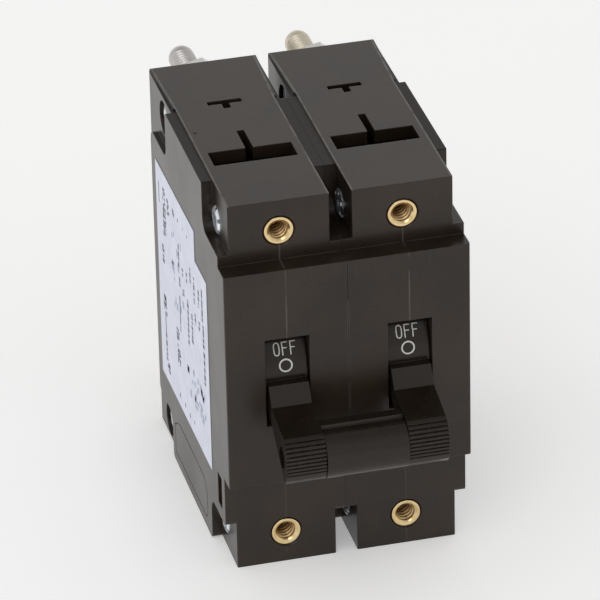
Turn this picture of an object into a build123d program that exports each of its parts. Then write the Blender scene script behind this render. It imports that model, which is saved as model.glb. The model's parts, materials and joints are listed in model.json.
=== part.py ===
from build123d import *
import os
from math import atan2, cos, degrees, hypot, radians, sin

# Two-pole hydraulic-magnetic circuit breaker, front-panel mounted.
# X runs across the poles, -Y is the front (operator) side, +Y the terminal side,
# +Z is up.  Origin: centre of the four panel-mounting inserts, on the mounting
# plane (the front of the pole ends).  Handles are in the OFF position.
# All lengths in millimetres, angles in degrees.

os.makedirs("parts", exist_ok=True)

# ------------------------------------------------------------------ driving sizes
PITCH = 19.05            # pole pitch (0.750 in)
POLES = {"left": -PITCH / 2, "right": PITCH / 2}
GAP = 0.02               # clearance between stacked terminal pieces

# case: half widths are measured from the middle of a pole
HALF_HEIGHT = 31.35      # half body height (2.469 in overall)
DEPTH = 48.0             # mounting plane to back face
WIDE_HALF = 9.51         # where poles touch
FRONT_HALF = 7.815       # front ends
BACK_HALF = 8.575        # back ends
TOP_HALF = FRONT_HALF    # raised top strip
TOP_BACK_HALF = 8.52     # the strip widens towards the back edge
TOP_STEP = 0.28          # top strip stands this much above the shoulders
SHOULDER_Z = HALF_HEIGHT - TOP_STEP
BLOCK_JOIN_Y = 20        # front end block meets back end block
CAVITY_HALF = 6.50       # half width of the inner cavity
PLATE_Y = -3.46          # front face of the raised centre plate
PLATE_BOTTOM, PLATE_TOP = -15.10, 21.40

# corner pockets beside the wide layer
FRONT_POCKET_TOP, FRONT_POCKET_BOTTOM = 23.25, -23.75
FRONT_POCKET_Y = 9.40                     # front pockets reach back to here
BACK_POCKET_TOP, BACK_POCKET_BOTTOM = 23.00, -23.60
BACK_TOP_Y, BACK_BOTTOM_Y = 33.50, 35.60  # back pockets start here
WIDE_BACK_Y = 44.20                       # back edge of the wide layer

# rivets: (y, z) for one pole
FRONT_RIVETS = [(7.0, 25.7), (7.0, -26.5)]
BACK_RIVETS = [(38.4, 27.5), (41.6, -28.2)]
RIVETS = FRONT_RIVETS + BACK_RIVETS
RIVET_R = 1.30
RIVET_FLANGE_R = 2.30
RIVET_FLANGE_T = 0.45

# mounting inserts
INSERT_Z = 26.187        # centres above / below origin (2.062 in apart)
INSERT_R = 2.30
INSERT_LENGTH = 5.0
INSERT_BORE_R = 1.38     # No. 6-32 tapping size

# terminal studs, with the washers and nut stacked behind the case
STUD_Z = 24.8            # centres above / below origin
STUD_R = 2.083           # No. 8-32 stud
SHANK_R = 1.84           # stud under the nut, at the thread pitch diameter
STUD_HEAD_Y, STUD_HEAD_T = 44.0, 1.13
STUD_FREE_Y = 53.4       # free end of the stud starts here
STUD_END_Y = 65.05
WASHER_HOLE_R = STUD_R + 0.08
WASHER_Y, WASHER_T = DEPTH + GAP, 0.7
LOCK_WASHER_Y, LOCK_WASHER_T = WASHER_Y + WASHER_T + GAP, 1.10
NUT_Y, NUT_T = LOCK_WASHER_Y + LOCK_WASHER_T + GAP, 3.24
NUT_FLATS = 8.73

# terminal strips behind the stud heads
TERMINAL_Y = STUD_HEAD_Y + STUD_HEAD_T + GAP
TERMINAL_T = 1.0

# window and handle
WINDOW_HALF = 3.45
WINDOW_BOTTOM, WINDOW_TOP = -5.00, 9.80
HANDLE_Y, HANDLE_Z = 7.50, 2.40           # handle pivot
HANDLE_HALF = 3.10                        # half width of the handle
GUARD_R, GUARD_T = 10.0, 0.9
SWING = 40.0                              # OFF to ON
CRANK_ANGLE = SWING / 2                   # direction of the crank, OFF
GUARD_ANGLE = 180 + CRANK_ANGLE           # direction of the guard's middle, OFF
TIE_Y, TIE_Z = -10.95, -6.15              # tie-bar pin axis, OFF
TIE_PIN_R = 1.45
HANDLE_PIN_R = 1.20
# front curve of the handle tip: (y, z), top to bottom
TIP_FRONT = [(-12.2, -2.35), (-13.55, -3.3), (-14.2, -5.1), (-14.25, -7.1), (-13.75, -8.9)]

# toggle linkage and contact arm
CRANK_R = 3.40                            # handle pivot to upper link pin
ARM_Y, ARM_Z = 14.0, -10.0                # contact-arm pivot
ARM_PIN_R = 1.00
ARM_LINK_R = 8.0                          # arm pivot to lower link pin
ARM_LINK_ANGLE = 50.0                     # direction of that pin, contacts closed
CONTACT_R = 22.3                          # arm pivot to contact
CONTACT_ANGLE = 40.5                      # direction of the contact, closed
OPENING = 9.97                            # arm opening angle
OPEN_ANGLE = CONTACT_ANGLE + OPENING
CONTACT_T = 0.90
CONTACT_GAP = 0.03
CRANK_PIN_Y = HANDLE_Y + CRANK_R * cos(radians(CRANK_ANGLE))
CRANK_PIN_Z = HANDLE_Z + CRANK_R * sin(radians(CRANK_ANGLE))
LINK_RUN_Y = ARM_Y + ARM_LINK_R * cos(radians(ARM_LINK_ANGLE + OPENING)) - CRANK_PIN_Y
LINK_RUN_Z = ARM_Z + ARM_LINK_R * sin(radians(ARM_LINK_ANGLE + OPENING)) - CRANK_PIN_Z
LINK_LENGTH = hypot(LINK_RUN_Y, LINK_RUN_Z)
LINK_ANGLE = degrees(atan2(LINK_RUN_Z, LINK_RUN_Y))
PIN_HALF_LENGTH = 7.3                     # handle pin and arm pin

# arc chute
CHUTE_HALF = 5.7                          # half width of the arc plates
PLATE_COUNT, PLATE_STEP = 6, 2.35

# magnetic trip unit
COIL_Y = 30.0                             # upright axis of the coil
LEAD_X, LEAD_R, FRONT_LEAD_Z = 4.85, 0.5, -12.0
ARMATURE_Y, ARMATURE_Z = 36.9, -7.05      # armature pivot
ARMATURE_REST = 8.0                       # angle of the released armature
ARMATURE_PIN_R = 0.60
TRIP_Y, TRIP_Z = 20.0, -15.2              # trip-bar axis
TRIP_BAR_R = 1.5
TRIP_HALF_LENGTH = 16.9


# ------------------------------------------------------------------ helpers
def side_plane(x):
    """Plane at x facing +X; local x = +Y, local y = +Z."""
    return Plane(origin=(x, 0, 0), x_dir=(0, 1, 0), z_dir=(1, 0, 0))


def turned_plane(x, y, z, angle):
    """Plane facing +X with its local x turned by angle from +Y towards +Z."""
    return Plane(origin=(x, y, z), x_dir=(0, cos(radians(angle)), sin(radians(angle))),
                 z_dir=(1, 0, 0))


def back_plane(x, y, z):
    """Plane facing +Y; local x = +X, local y = -Z."""
    return Plane(origin=(x, y, z), x_dir=(1, 0, 0), z_dir=(0, 1, 0))


def front_plane(x, y, z=0):
    """Plane facing -Y; local x = +X, local y = +Z."""
    return Plane(origin=(x, y, z), x_dir=(1, 0, 0), z_dir=(0, -1, 0))


def coil_axis(pole_x):
    return Axis((pole_x, COIL_Y, 0), (0, 0, 1))


def placed(pole_x, side, points):
    """Points (distance from the pole's middle, y) put on one side of a pole."""
    return [(pole_x + side * across, y) for across, y in points]


def save(builder, label):
    builder.part.label = label
    export_step(builder.part, f"parts/{label}.step")


def save_both_poles(make, label):
    """Save the pieces of both poles as one group of separate solids."""
    group = Compound(
        children=[solid for pole_x in POLES.values() for solid in make(pole_x).solids()],
        label=label)
    export_step(group, f"parts/{label}.step")


def rod(x, y, z, radius, half_length):
    """Round pin along X with chamfered ends."""
    with BuildPart() as pin:
        with BuildSketch(side_plane(x)):
            with Locations((y, z)):
                Circle(radius)
        extrude(amount=half_length, both=True)
        chamfer(pin.edges().filter_by(GeomType.CIRCLE), min(0.2, radius * 0.25))
    return pin


def coil_spring(start, end, radius, wire, turns):
    """Round-wire coil between two points; radius is to the middle of the wire."""
    run = Vector(*end) - Vector(*start)
    with BuildPart() as spring:
        with BuildLine():
            path = Helix(pitch=run.length / turns, height=run.length, radius=radius,
                         center=start, direction=(run.X, run.Y, run.Z))
        with BuildSketch(Plane(origin=path @ 0, z_dir=path % 0)):
            Circle(wire / 2)
        sweep(is_frenet=True)
    return spring


# ------------------------------------------------------------------ moulded half-cases
# inner cavity: (y, z)
CAVITY = [
    (1.8, -20.4), (1.8, 20.4), (11.6, 20.4), (11.6, 29.2), (34.6, 29.2), (34.6, 23.4),
    (42.6, 23.4), (42.6, 29.2), (46.2, 29.2), (46.2, -29.2), (43.85, -29.2),
    (43.85, -24.6), (38.4, -24.6), (38.4, -29.2), (11.0, -29.2), (11.0, -20.4),
]
# openings through the top, forming two T shapes: (centre y, half width, length in y)
VENTS = [(15.55, 6.5, 4.4), (20.5, 0.6, 6.2), (33.62, 2.7, 1.15), (32.6, 0.6, 2.2)]
# recesses in the flat side: (y, z)
SLIT = [(1.9, -16.3), (4.4, -16.3), (4.4, -21.7), (1.9, -21.7)]
PANEL = [(12.1, -28.6), (12.1, -24.6), (14.0, -22.7), (31.0, -22.7), (33.9, -24.4),
         (33.9, -29.6), (13.0, -29.6)]


def half_case(pole_x, side):
    """One moulded half of a pole case.  side = -1 left half, +1 right half."""
    outer = side * pole_x > 0      # on the outside of the assembly
    with BuildPart() as case:
        # front end block
        with BuildSketch(Plane.XY.offset(-HALF_HEIGHT)):
            with BuildLine():
                Polyline(*placed(pole_x, side, [
                    (0, 0), (FRONT_HALF - 0.12, 0), (FRONT_HALF, 0.12),
                    (FRONT_HALF, BLOCK_JOIN_Y), (0, BLOCK_JOIN_Y)]), close=True)
            make_face()
        extrude(amount=2 * HALF_HEIGHT)
        # full-height strip that stands above the shoulders
        with BuildSketch(Plane.XY.offset(-HALF_HEIGHT)):
            with Locations((pole_x + side * TOP_HALF / 2, 25)):
                Rectangle(TOP_HALF, 18)
            with BuildLine():
                Polyline(*placed(pole_x, side, [
                    (0, BACK_TOP_Y), (8.12, BACK_TOP_Y), (TOP_BACK_HALF, DEPTH - 0.10),
                    (TOP_BACK_HALF - 0.05, DEPTH), (0, DEPTH)]), close=True)
            make_face()
        extrude(amount=2 * HALF_HEIGHT)
        # back end block
        with BuildSketch(Plane.XY.offset(-HALF_HEIGHT)):
            with BuildLine():
                Polyline(*placed(pole_x, side, [
                    (0, BLOCK_JOIN_Y), (BACK_HALF, BLOCK_JOIN_Y), (BACK_HALF, DEPTH - 0.12),
                    (BACK_HALF - 0.12, DEPTH), (0, DEPTH)]), close=True)
            make_face()
        extrude(amount=2 * HALF_HEIGHT - TOP_STEP)
        # wide layer with its four corner pockets
        with BuildSketch(side_plane(pole_x)) as wide:
            with BuildLine():
                Polyline((0, FRONT_POCKET_BOTTOM), (0, FRONT_POCKET_TOP),
                         (FRONT_POCKET_Y, FRONT_POCKET_TOP), (FRONT_POCKET_Y, SHOULDER_Z),
                         (BACK_TOP_Y, SHOULDER_Z), (BACK_TOP_Y, BACK_POCKET_TOP),
                         (WIDE_BACK_Y, BACK_POCKET_TOP), (WIDE_BACK_Y, BACK_POCKET_BOTTOM),
                         (BACK_BOTTOM_Y, BACK_POCKET_BOTTOM), (BACK_BOTTOM_Y, -HALF_HEIGHT),
                         (FRONT_POCKET_Y, -HALF_HEIGHT),
                         (FRONT_POCKET_Y, FRONT_POCKET_BOTTOM), close=True)
            make_face()
            for radius, corners in (
                (2.3, [(FRONT_POCKET_Y, FRONT_POCKET_TOP),
                       (FRONT_POCKET_Y, FRONT_POCKET_BOTTOM),
                       (BACK_BOTTOM_Y, BACK_POCKET_BOTTOM)]),
                (1.7, [(BACK_TOP_Y, BACK_POCKET_TOP),
                       (WIDE_BACK_Y, BACK_POCKET_TOP)]),
                (0.9, [(BACK_TOP_Y, SHOULDER_Z),
                       (0, FRONT_POCKET_BOTTOM),
                       (BACK_BOTTOM_Y, -HALF_HEIGHT),
                       (FRONT_POCKET_Y, -HALF_HEIGHT),
                       (WIDE_BACK_Y, BACK_POCKET_BOTTOM)]),
            ):
                found = wide.vertices()
                fillet([found.sort_by_distance((y, z, 0))[0] for y, z in corners], radius)
        extrude(amount=side * WIDE_HALF)
        # raised centre plate around the handle window, eased on the outer edge
        if outer:
            plate_edge = [(WIDE_HALF - 0.3, PLATE_Y), (WIDE_HALF - 0.08, PLATE_Y + 0.10),
                          (WIDE_HALF, PLATE_Y + 0.35)]
        else:
            plate_edge = [(WIDE_HALF - 0.02, PLATE_Y), (WIDE_HALF, PLATE_Y + 0.03)]
        with BuildSketch(Plane.XY.offset(PLATE_BOTTOM)):
            with BuildLine():
                Polyline(*placed(pole_x, side, [
                    (0, 1), (0, PLATE_Y), *plate_edge, (WIDE_HALF, 1)]), close=True)
            make_face()
        extrude(amount=PLATE_TOP - PLATE_BOTTOM)

        # inner cavity
        with BuildSketch(side_plane(pole_x)):
            with BuildLine():
                Polyline(*CAVITY, close=True)
            make_face()
        extrude(amount=side * CAVITY_HALF, mode=Mode.SUBTRACT)
        # room for the sweep of the handle guard
        with BuildSketch(side_plane(pole_x)):
            with Locations((HANDLE_Y, HANDLE_Z)):
                Circle(GUARD_R + 0.25)
        extrude(amount=side * WINDOW_HALF, mode=Mode.SUBTRACT)
        # handle window
        with BuildSketch(side_plane(pole_x)):
            with Locations(((PLATE_Y + 3) / 2, (WINDOW_BOTTOM + WINDOW_TOP) / 2)):
                Rectangle(3 - PLATE_Y + 1, WINDOW_TOP - WINDOW_BOTTOM)
        extrude(amount=side * WINDOW_HALF, mode=Mode.SUBTRACT)
        # arc vents through the top
        with BuildSketch(Plane.XY.offset(28)):
            for y, half_width, length in VENTS:
                with Locations((pole_x + side * half_width / 2, y)):
                    Rectangle(half_width, length)
        extrude(amount=4, mode=Mode.SUBTRACT)

        # rivet holes, with counterbores where the back ends are thicker
        with BuildSketch(side_plane(pole_x)):
            with Locations(*RIVETS):
                Circle(RIVET_R + 0.05)
        extrude(amount=side * 10, mode=Mode.SUBTRACT)
        with BuildSketch(side_plane(pole_x + side * FRONT_HALF)):
            with Locations(*BACK_RIVETS):
                Circle(2.75)
        extrude(amount=side * 3, mode=Mode.SUBTRACT)
        # seats for the threaded inserts, half in each half-case, countersunk
        for z in (INSERT_Z, -INSERT_Z):
            with BuildSketch(back_plane(pole_x, 0, z)):
                Circle(INSERT_R + 0.01)
            extrude(amount=INSERT_LENGTH + 0.2, mode=Mode.SUBTRACT)
            with BuildSketch(back_plane(pole_x, -0.01, z)):
                Circle(INSERT_R + 0.32)
            extrude(amount=0.36, mode=Mode.SUBTRACT, taper=40)
        # stud holes through the back wall
        for z in (STUD_Z, -STUD_Z):
            with BuildSketch(front_plane(pole_x, DEPTH + 1, z)):
                Circle(STUD_R + 0.07)
            extrude(amount=4, mode=Mode.SUBTRACT)
        # blind seats for the handle pin and the arm pin
        with BuildSketch(side_plane(pole_x)):
            with Locations((HANDLE_Y, HANDLE_Z)):
                Circle(HANDLE_PIN_R + 0.02)
            with Locations((ARM_Y, ARM_Z)):
                Circle(ARM_PIN_R + 0.02)
        extrude(amount=side * (PIN_HALF_LENGTH + 0.1), mode=Mode.SUBTRACT)
        # trip bar: through the inner walls, blind in the outer walls
        with BuildSketch(side_plane(pole_x)):
            with Locations((TRIP_Y, TRIP_Z)):
                Circle(TRIP_BAR_R + 0.1)
        extrude(amount=side * (7.6 if outer else 10.0), mode=Mode.SUBTRACT)

        # recesses on the flat side: upright slit and panel outline
        with BuildSketch(side_plane(pole_x + side * WIDE_HALF)):
            with BuildLine():
                Polyline(*SLIT, close=True)
            make_face()
        extrude(amount=-side * 1.1, mode=Mode.SUBTRACT)
        with BuildSketch(side_plane(pole_x + side * WIDE_HALF)):
            with BuildLine():
                Polyline(*PANEL, close=True)
            make_face()
            offset(amount=-0.20, mode=Mode.SUBTRACT)
        extrude(amount=-side * 0.14, mode=Mode.SUBTRACT)
    return case


# ------------------------------------------------------------------ fasteners
def inserts(pole_x):
    """Threaded mounting inserts with a countersunk mouth."""
    with BuildPart() as pair:
        for z in (INSERT_Z, -INSERT_Z):
            mouth = back_plane(pole_x, 0.06, z)
            with BuildSketch(mouth):
                Circle(INSERT_R)
                Circle(INSERT_BORE_R, mode=Mode.SUBTRACT)
            extrude(amount=INSERT_LENGTH)
            with BuildSketch(mouth):
                Circle(1.72)
            extrude(amount=0.34, mode=Mode.SUBTRACT, taper=45)
    return pair


def rivets(pole_x):
    """Hollow case rivets: tube with a rolled, split flange at both ends."""
    flange_x = FRONT_HALF + 0.02
    lip_x = flange_x + RIVET_FLANGE_T * 0.6
    bore_r, lip_r = 0.62, 1.25
    with BuildPart() as tubes:
        for y, z in RIVETS:
            for side in (-1, 1):
                # half section of one end: (distance from the pole's middle, radius)
                with BuildSketch(Plane(origin=(pole_x, y, z), x_dir=(side, 0, 0),
                                       z_dir=(0, -side, 0))):
                    with BuildLine():
                        Polyline((0, bore_r), (lip_x, bore_r), (lip_x, lip_r))
                        RadiusArc((lip_x, lip_r), (flange_x, RIVET_FLANGE_R), -0.95)
                        Polyline((flange_x, RIVET_FLANGE_R), (flange_x, RIVET_R),
                                 (0, RIVET_R), (0, bore_r))
                    make_face()
                revolve(axis=Axis((pole_x, y, z), (1, 0, 0)))
                # notches that split the rolled end into petals
                with BuildSketch(Plane(origin=(pole_x + side * (flange_x - 0.01), y, z),
                                       x_dir=(0, 1, 0), z_dir=(side, 0, 0))):
                    with PolarLocations(1.92, 6, start_angle=20):
                        Rectangle(0.90, 0.62)
                extrude(amount=1.0, mode=Mode.SUBTRACT)
    return tubes


def studs(pole_x):
    """Line (upper) and load (lower) terminal studs with a flat inner head."""
    with BuildPart() as pair:
        for z in (STUD_Z, -STUD_Z):
            head = back_plane(pole_x, STUD_HEAD_Y, z)
            with BuildSketch(head):
                Circle(3.3)
            extrude(amount=STUD_HEAD_T)
            with BuildSketch(head):
                Circle(SHANK_R)
            extrude(amount=STUD_FREE_Y - STUD_HEAD_Y)
            with BuildSketch(back_plane(pole_x, STUD_FREE_Y, z)):
                Circle(STUD_R)
            extrude(amount=STUD_END_Y - STUD_FREE_Y)
        fillet(pair.edges().filter_by(GeomType.CIRCLE).group_by(Axis.Y)[-1], 1.95)
    return pair


def nuts(pole_x):
    """Hex nut on each stud, with its corners turned down on both faces."""
    bore_r, face_r, rim_r, ease = SHANK_R + 0.03, 4.30, 5.1, 0.42
    nut_end = NUT_Y + NUT_T
    with BuildPart() as hexes:
        for z in (STUD_Z, -STUD_Z):
            with BuildSketch(back_plane(pole_x, NUT_Y, z)):
                RegularPolygon(NUT_FLATS / 2, 6, major_radius=False, rotation=42)
            extrude(amount=NUT_T)
    with BuildPart() as turned:
        for z in (STUD_Z, -STUD_Z):
            # half section of the turned blank: (radius, y)
            with BuildSketch(Plane(origin=(pole_x, 0, z), x_dir=(1, 0, 0),
                                   z_dir=(0, 0, 1))):
                with BuildLine():
                    Polyline((bore_r, NUT_Y), (face_r, NUT_Y), (rim_r, NUT_Y + ease),
                             (rim_r, nut_end - ease), (face_r, nut_end),
                             (bore_r, nut_end), close=True)
                make_face()
            revolve(axis=Axis((pole_x, 0, z), (0, 1, 0)))
        add(hexes.part, mode=Mode.INTERSECT)
    return turned


def washers(pole_x):
    """Plain washers against the back face."""
    with BuildPart() as pair:
        for z in (STUD_Z, -STUD_Z):
            with BuildSketch(back_plane(pole_x, WASHER_Y, z)):
                Circle(4.75)
                Circle(WASHER_HOLE_R, mode=Mode.SUBTRACT)
            extrude(amount=WASHER_T)
    return pair


def lock_washers(pole_x):
    """Split lock washer under each nut, with the split facing down."""
    with BuildPart() as pair:
        for z in (STUD_Z, -STUD_Z):
            with BuildSketch(back_plane(pole_x, LOCK_WASHER_Y, z)):
                Circle(3.75)
                Circle(WASHER_HOLE_R, mode=Mode.SUBTRACT)
                with Locations((0, 3.0)):
                    Rectangle(0.5, 2.4, mode=Mode.SUBTRACT)
            extrude(amount=LOCK_WASHER_T)
    return pair


# ------------------------------------------------------------------ handle
with BuildLine() as tip_front:
    Spline(*TIP_FRONT)

# distances of the grip grooves along the front curve of the tip
GROOVES = (0.95, 1.70, 2.40, 3.10, 3.75, 4.40, 5.05, 5.70, 6.35)
GROOVE_HALF, GROOVE_RISE, GROOVE_DEPTH = 0.23, 0.12, 0.28


def groove_section(along):
    """Triangle of a V groove at a distance along the front curve of the tip."""
    edge = tip_front.edges()[0]
    at = edge @ (along / edge.length)
    run = edge % (along / edge.length)

    def point(forward, outward):
        return (at.X + forward * run.X + outward * run.Y,
                at.Y + forward * run.Y - outward * run.X)

    return [point(GROOVE_HALF, GROOVE_RISE), point(-GROOVE_HALF, GROOVE_RISE),
            point(0, -GROOVE_DEPTH)]


def handle(pole_x):
    """Toggle handle with curved guard, hub and crank, in the OFF position."""
    upright = side_plane(pole_x)
    # local -x of this plane runs along the crank, local +x towards the guard
    swung = turned_plane(pole_x, HANDLE_Y, HANDLE_Z, GUARD_ANGLE)
    guard_inner_r = GUARD_R - GUARD_T
    guard_half_angle = 76.0
    end_cos = cos(radians(guard_half_angle))
    end_sin = sin(radians(guard_half_angle))
    hub_half, arm_width = 2.8, 3.4
    with BuildPart() as lever:
        # curved guard: shell about the pivot
        with BuildSketch(swung):
            with BuildLine():
                CenterArc((0, 0), GUARD_R, -guard_half_angle, 2 * guard_half_angle)
                CenterArc((0, 0), guard_inner_r, -guard_half_angle, 2 * guard_half_angle)
                for end in (1, -1):
                    Line((GUARD_R * end_cos, end * GUARD_R * end_sin),
                         (guard_inner_r * end_cos, end * guard_inner_r * end_sin))
            make_face()
        extrude(amount=3.3, both=True)
        # hub
        with BuildSketch(upright):
            with Locations((HANDLE_Y, HANDLE_Z)):
                Circle(2.5)
        extrude(amount=hub_half, both=True)
        # web to the guard, and crank with its round end
        with BuildSketch(swung):
            with Locations((GUARD_R / 2 - 0.2, 0)):
                Rectangle(GUARD_R - 0.4, arm_width)
            with Locations((-CRANK_R / 2, 0)):
                Rectangle(CRANK_R, arm_width)
            with Locations((-CRANK_R, 0)):
                Circle(arm_width / 2)
        extrude(amount=hub_half, both=True)
        # neck and tip outside the guard
        with BuildSketch(upright):
            with BuildLine():
                Polyline((-1.6, 2.2), (-3.9, 2.1), (-5.45, -0.75), TIP_FRONT[0])
                Spline(*TIP_FRONT)
                Polyline(TIP_FRONT[-1], (-12.9, -9.75), (-9.7, -7.45), (-5.6, -4.1),
                         (-0.9, -2.3), (-1.0, 2.0), (-1.6, 2.2))
            make_face()
        extrude(amount=HANDLE_HALF, both=True)
        # grip ribs: grooves across the front curve of the tip
        for along in GROOVES:
            with BuildSketch(upright):
                with BuildLine():
                    Polyline(*groove_section(along), close=True)
                make_face()
            extrude(amount=HANDLE_HALF + 0.5, both=True, mode=Mode.SUBTRACT)
        # bores for the handle pin and the tie pin
        with BuildSketch(upright):
            with Locations((HANDLE_Y, HANDLE_Z)):
                Circle(HANDLE_PIN_R + 0.05)
            with Locations((TIE_Y, TIE_Z)):
                Circle(TIE_PIN_R + 0.05)
        extrude(amount=6, both=True, mode=Mode.SUBTRACT)
        # deep recess over the tie pin on the outer side
        outer_side = -1 if pole_x < 0 else 1
        with BuildSketch(side_plane(pole_x + outer_side * HANDLE_HALF)):
            with Locations((TIE_Y, TIE_Z)):
                Circle(1.75)
        extrude(amount=-outer_side * 2.4, mode=Mode.SUBTRACT)
        # link pin bore, and the slot for the link
        with BuildSketch(swung):
            with Locations((-CRANK_R, 0)):
                Circle(0.86)
        extrude(amount=6, both=True, mode=Mode.SUBTRACT)
        with BuildSketch(swung):
            with Locations((-CRANK_R - 1.0, 0)):
                Rectangle(5.4, 9)
        extrude(amount=0.95, both=True, mode=Mode.SUBTRACT)
    return lever


def handle_spring(pole_x):
    """Torsion coil around the handle pin."""
    turns, pitch, start_x = 4, 0.6, pole_x + 3.25
    return coil_spring((start_x, HANDLE_Y, HANDLE_Z),
                       (start_x + turns * pitch, HANDLE_Y, HANDLE_Z),
                       radius=1.95, wire=0.5, turns=turns)


# ------------------------------------------------------------------ linkage and contacts
def toggle_link(pole_x):
    """Link from the handle crank to the contact arm, with a pin at each end."""
    along_link = turned_plane(pole_x, CRANK_PIN_Y, CRANK_PIN_Z, LINK_ANGLE)
    width = 2.8
    with BuildPart() as link:
        with BuildSketch(along_link):
            with Locations((LINK_LENGTH / 2, 0)):
                SlotOverall(LINK_LENGTH + width, width)
        extrude(amount=0.85, both=True)
        with BuildSketch(along_link):
            with Locations((0, 0), (LINK_LENGTH, 0)):
                Circle(0.80)
        extrude(amount=2.45, both=True)
    return link


def contact_arm(pole_x):
    """Moving contact arm, open.  Local x runs from the pivot to the contact."""
    along_arm = turned_plane(pole_x, ARM_Y, ARM_Z, OPEN_ANGLE)
    link_x = ARM_LINK_R * cos(radians(ARM_LINK_ANGLE - CONTACT_ANGLE))
    link_y = ARM_LINK_R * sin(radians(ARM_LINK_ANGLE - CONTACT_ANGLE))
    blade_end = CONTACT_R + 2.4
    blade_low, blade_high = 0.95, 2.55
    with BuildPart() as arm:
        with BuildSketch(along_arm):
            with BuildLine():
                Polyline((-2.1, -1.2), (-2.1, 1.4), (5.0, 3.4), (link_x + 2.0, 3.2),
                         (11.5, blade_high), (blade_end, blade_high), (blade_end, blade_low),
                         (11.0, blade_low), (2.0, -2.0), (-0.8, -2.0), close=True)
            make_face()
        extrude(amount=2.45, both=True)
        # slot for the link between the two cheeks
        with BuildSketch(along_arm):
            with Locations((link_x / 2 - 0.6, 0.9)):
                Rectangle(link_x + 6.0, 8.0)
        extrude(amount=1.0, both=True, mode=Mode.SUBTRACT)
        # bridge that keeps the cheeks together below the link
        with BuildSketch(along_arm):
            with BuildLine():
                Polyline((-1.6, -1.9), (3.2, -1.9), (3.2, -1.4), (-1.6, -1.4), close=True)
            make_face()
        extrude(amount=2.0, both=True)
        # bores for the arm pin and the link pin
        with BuildSketch(along_arm):
            Circle(ARM_PIN_R + 0.05)
            with Locations((link_x, link_y)):
                Circle(1.22)
        extrude(amount=6, both=True, mode=Mode.SUBTRACT)
        # taper the blade towards the contact
        with BuildSketch(Plane(origin=along_arm.origin, x_dir=along_arm.x_dir,
                               z_dir=along_arm.y_dir)):
            with BuildLine():
                Polyline((14, 2.46), (CONTACT_R + 3, 1.9), (CONTACT_R + 3, 4), (14, 4),
                         close=True)
            make_face()
            mirror(about=Plane.XZ)
        extrude(amount=6, both=True, mode=Mode.SUBTRACT)
    return arm


def contact_disc(pole_x, angle, base):
    """Contact disc at an arm angle; base is its lower face above the arm's radius line."""
    along_arm = turned_plane(pole_x, ARM_Y, ARM_Z, angle)
    centre = along_arm.from_local_coords(Vector(CONTACT_R, base, 0))
    with BuildPart() as disc:
        with BuildSketch(Plane(origin=centre, x_dir=(1, 0, 0), z_dir=along_arm.y_dir)):
            Circle(1.75)
        extrude(amount=CONTACT_T)
    return disc


def contact_spring(pole_x):
    """Opening spring of the contact arm, from the arm heel to the case floor."""
    return coil_spring((pole_x, 8.9, -19.2), (pole_x, 12.1, -12.75),
                       radius=1.25, wire=0.42, turns=8)


def flexible_lead(pole_x):
    """Flexible lead from the coil to the contact arm."""
    along_arm = turned_plane(pole_x, ARM_Y, ARM_Z, OPEN_ANGLE)
    heel = along_arm.from_local_coords(Vector(3.2, -2.0, 0))
    with BuildPart() as lead:
        with BuildLine():
            path = Spline((pole_x - LEAD_X, COIL_Y - 6.78, FRONT_LEAD_Z),
                          (pole_x - 4.9, 20.6, -12.8), (pole_x - 4.3, 17.6, -11.9),
                          (pole_x - 3.06, heel.Y + 0.4, heel.Z - 0.4))
        with BuildSketch(Plane(origin=path @ 0, z_dir=path % 0)):
            Circle(0.55)
        sweep()
    return lead


def line_terminal(pole_x):
    """Strip from the upper stud to a sloping pad under the fixed contact."""
    slope_cos = cos(radians(CONTACT_ANGLE))
    slope_sin = sin(radians(CONTACT_ANGLE))
    contact_y = ARM_Y + CONTACT_R * slope_cos
    contact_z = ARM_Z + CONTACT_R * slope_sin
    bend_z = 8.0
    pad_start = -2.6
    pad_top = -CONTACT_T - CONTACT_GAP
    pad_bottom = pad_top - TERMINAL_T

    def pad_point(along, normal):
        """Point (y, z) along the pad's slope and normal from the contact."""
        return (contact_y + along * slope_cos - normal * slope_sin,
                contact_z + along * slope_sin + normal * slope_cos)

    def pad_end(normal, z):
        """Where a face of the pad reaches the height z."""
        return pad_point((z - pad_point(0, normal)[1]) / slope_sin, normal)

    with BuildPart() as strip:
        with BuildSketch(side_plane(pole_x)):
            with BuildLine():
                Polyline(pad_point(pad_start, pad_bottom), pad_point(pad_start, pad_top),
                         pad_end(pad_top, bend_z), (TERMINAL_Y, bend_z),
                         (TERMINAL_Y, 28.4), (TERMINAL_Y + TERMINAL_T, 28.4),
                         (TERMINAL_Y + TERMINAL_T, bend_z - TERMINAL_T),
                         pad_end(pad_bottom, bend_z - TERMINAL_T), close=True)
            make_face()
        extrude(amount=3.6, both=True)
        with BuildSketch(back_plane(pole_x, 40, STUD_Z)):
            Circle(STUD_R + 0.03)
        extrude(amount=10, mode=Mode.SUBTRACT)
    return strip


def load_terminal(pole_x):
    """Flat plate on the lower stud, with a crossbar near its top."""
    with BuildPart() as plate:
        with BuildSketch(front_plane(pole_x, TERMINAL_Y)):
            with Locations((0, -22.8)):
                Rectangle(7.2, 11.6)
            with Locations((0, -19.4)):
                Rectangle(11.8, 2.6)
            with Locations((0, -STUD_Z)):
                Circle(STUD_R + 0.03, mode=Mode.SUBTRACT)
        extrude(amount=-TERMINAL_T)
    return plate


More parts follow.
